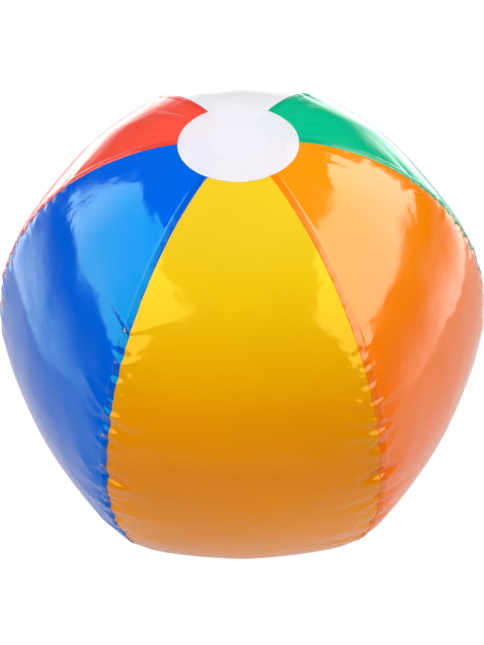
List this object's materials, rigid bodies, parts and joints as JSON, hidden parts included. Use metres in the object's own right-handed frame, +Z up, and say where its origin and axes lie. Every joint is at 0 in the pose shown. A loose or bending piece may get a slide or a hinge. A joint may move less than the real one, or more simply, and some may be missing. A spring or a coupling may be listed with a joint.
{
  "type": "inflatable beach ball",
  "caption": "Inflated PVC film ball with coloured vertical gores, round end discs and a push-in valve with a captive plug.",
  "frame": {"origin": "centre of the lower end disc's outer face, on the ground", "axes": "+Z up through both end discs; the yellow gore faces -Y; the valve points along +Y"},
  "size_m": [0.306, 0.2855, 0.2902],
  "materials": {
    "film_orange": "glossy heat-sealed PVC film",
    "film_green": "glossy heat-sealed PVC film",
    "film_white": "glossy heat-sealed PVC film",
    "film_red": "glossy heat-sealed PVC film",
    "film_blue": "glossy heat-sealed PVC film",
    "film_yellow": "glossy heat-sealed PVC film",
    "disc_film": "glossy translucent white PVC film with weld rings",
    "valve_vinyl": "smooth soft clear-white moulded PVC"
  },
  "bodies": {
    "ball": {"gore_orange": "film_orange", "gore_green": "film_green", "gore_white": "film_white", "gore_red": "film_red", "gore_blue": "film_blue", "gore_yellow": "film_yellow", "end_disc_top": "disc_film", "end_disc_bottom": "disc_film", "valve_flange": "valve_vinyl", "stem_membrane": "valve_vinyl"},
    "stem": {"valve_stem": "valve_vinyl", "plug_strap": "valve_vinyl"},
    "flap": {"check_flap": "valve_vinyl"},
    "plug": {"plug": "valve_vinyl"}
  },
  "joints": [
    {"name": "stem_slide", "type": "slide", "parent": "ball", "child": "stem", "axis": [0, 1, 0], "range_m": [0, 0.012], "deforming": ["stem_membrane"]},
    {"name": "plug_pull", "type": "slide", "parent": "stem", "child": "plug", "axis": [0, 1, 0], "range_m": [0, 0.01], "deforming": ["plug_strap"]},
    {"name": "flap_hinge", "type": "hinge", "parent": "stem", "child": "flap", "pos_m": [0, 0.1294, 0.1499], "axis": [-1, 0, 0], "range_deg": [0, 60], "stiffness_Nm_per_rad": 0.000005}
  ]
}
